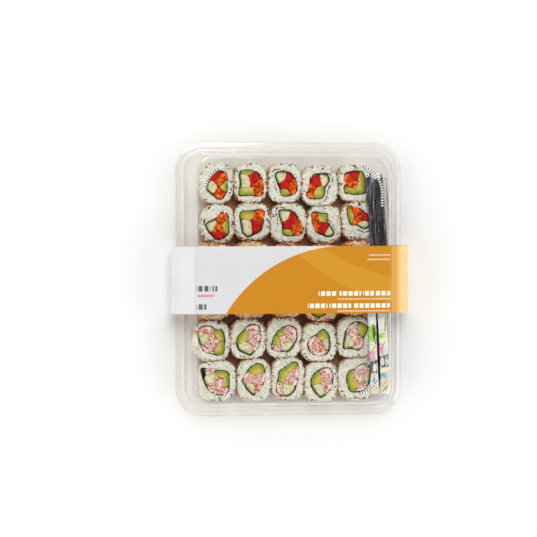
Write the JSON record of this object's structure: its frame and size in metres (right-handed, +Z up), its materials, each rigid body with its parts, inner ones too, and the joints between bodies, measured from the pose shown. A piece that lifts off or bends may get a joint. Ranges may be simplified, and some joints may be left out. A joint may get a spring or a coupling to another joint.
{
  "type": "takeaway sushi tray",
  "caption": "Shut clear-lidded takeaway tray of inside-out sushi rolls with wrapped chopsticks and sauce sachets, held closed by a white and orange card sleeve.",
  "frame": {"origin": "bottom centre of the whole pack's box, on the surface it stands on", "axes": "+Y along the tray's long side, away from the end where the sachets lie; +X across it towards the chopsticks; +Z up"},
  "size_m": [0.241, 0.273, 0.0412],
  "materials": {
    "clear_base": "thin clear thermoformed plastic, faintly hazy",
    "brown_floor": "brown film on the tray floor, satin",
    "rice": "cooked white rice, moist, with black sesame specks",
    "coated_rice": "cooked rice under a golden orange granule coating",
    "clear_lid": "thin clear thermoformed plastic, glossy",
    "printed_card": "smooth coated card printed white and orange",
    "black_film": "black shrink film, glossy with creases",
    "printed_film": "glossy printed sachet film, crimped ends"
  },
  "bodies": {
    "root": {"tray_base": "clear_base", "floor_liner": "brown_floor", "roll_r1c1": "rice", "roll_r1c2": "rice", "roll_r1c3": "rice", "roll_r1c4": "rice", "roll_r1c5": "rice", "roll_r2c1": "rice", "roll_r2c2": "rice", "roll_r2c3": "rice", "roll_r2c4": "rice", "roll_r2c5": "rice", "roll_r3c1": "coated_rice", "roll_r3c2": "coated_rice", "roll_r3c3": "coated_rice", "roll_r3c4": "coated_rice", "roll_r3c5": "coated_rice", "roll_r4c1": "coated_rice", "roll_r4c2": "coated_rice", "roll_r4c3": "coated_rice", "roll_r4c4": "coated_rice", "roll_r4c5": "coated_rice", "roll_r5c1": "rice", "roll_r5c2": "rice", "roll_r5c3": "rice", "roll_r5c4": "rice", "roll_r5c5": "rice", "roll_r6c1": "rice", "roll_r6c2": "rice", "roll_r6c3": "rice", "roll_r6c4": "rice", "roll_r6c5": "rice", "lid": "clear_lid", "sleeve": "printed_card", "chopsticks_a": "black_film", "chopsticks_b": "black_film", "sachet_a": "printed_film", "sachet_b": "printed_film"}
  },
  "joints": []
}
